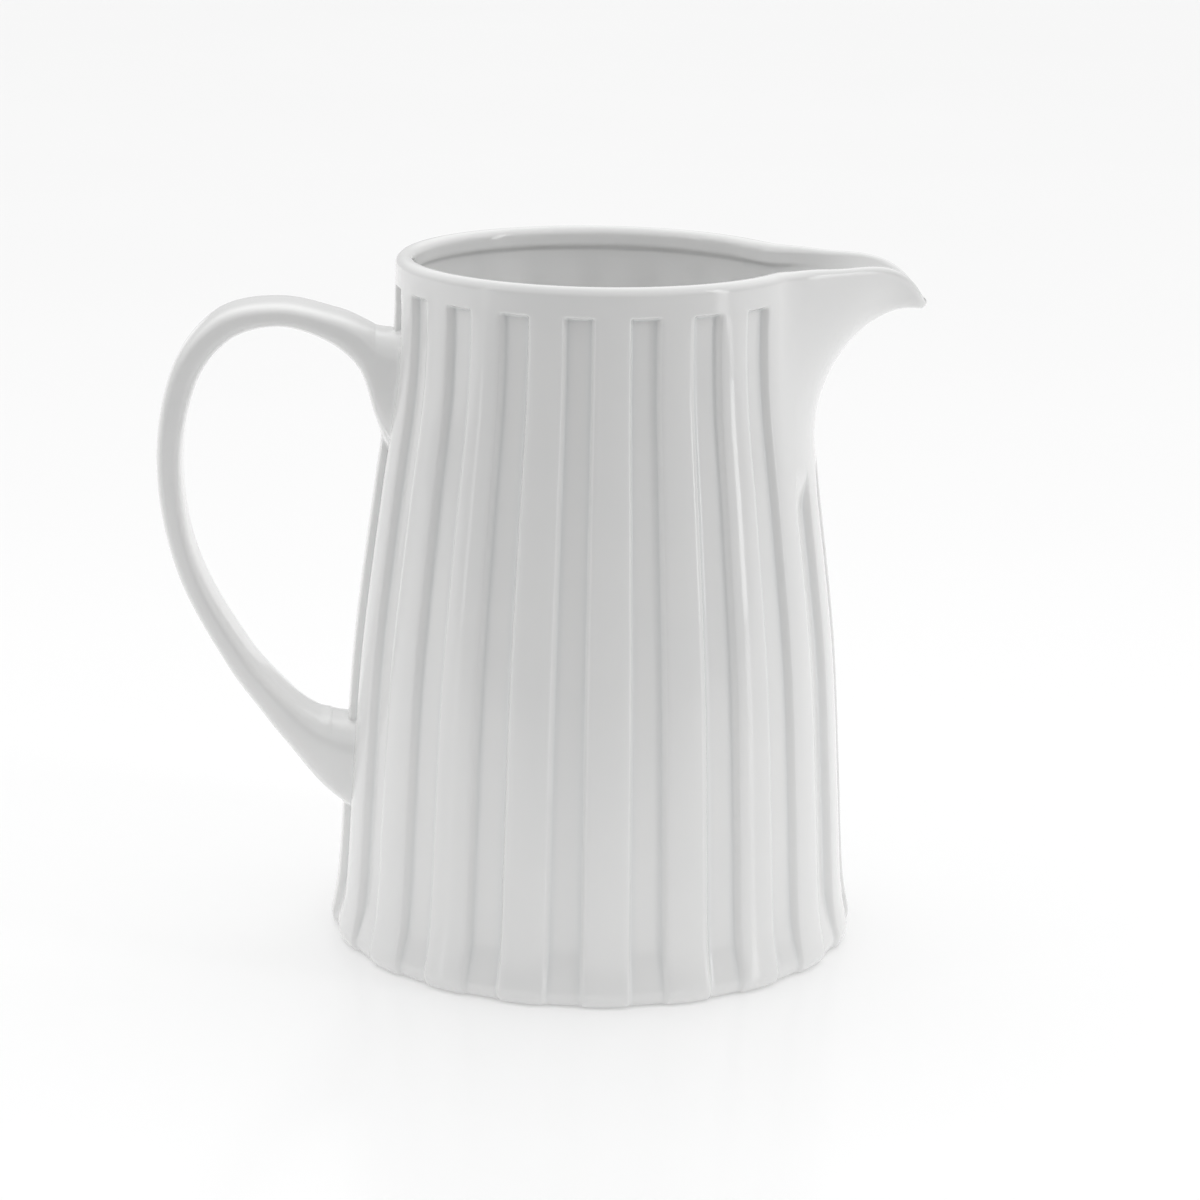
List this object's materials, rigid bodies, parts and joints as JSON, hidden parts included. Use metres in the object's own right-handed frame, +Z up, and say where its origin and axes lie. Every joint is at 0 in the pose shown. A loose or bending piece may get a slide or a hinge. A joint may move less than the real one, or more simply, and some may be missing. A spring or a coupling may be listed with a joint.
{
  "type": "pitcher",
  "caption": "Glazed porcelain pitcher: fluted tapering body with a plain rounded rim, a pulled pouring spout and a strap handle opposite it.",
  "frame": {"origin": "centre of the foot ring on the plane that the pitcher stands on", "axes": "+Z up, +X towards the spout, -X towards the handle"},
  "size_m": [0.199, 0.1394, 0.18],
  "materials": {
    "glazed_body": "clear gloss glaze over white porcelain",
    "bare_foot": "unglazed, sanded, matte"
  },
  "bodies": {
    "root": {"fluted_wall": "glazed_body", "rim_band": "glazed_body", "spout": "glazed_body", "base_floor": "glazed_body", "foot_ring": "bare_foot", "handle": "glazed_body", "upper_handle_joint": "glazed_body", "lower_handle_joint": "glazed_body"}
  },
  "joints": []
}
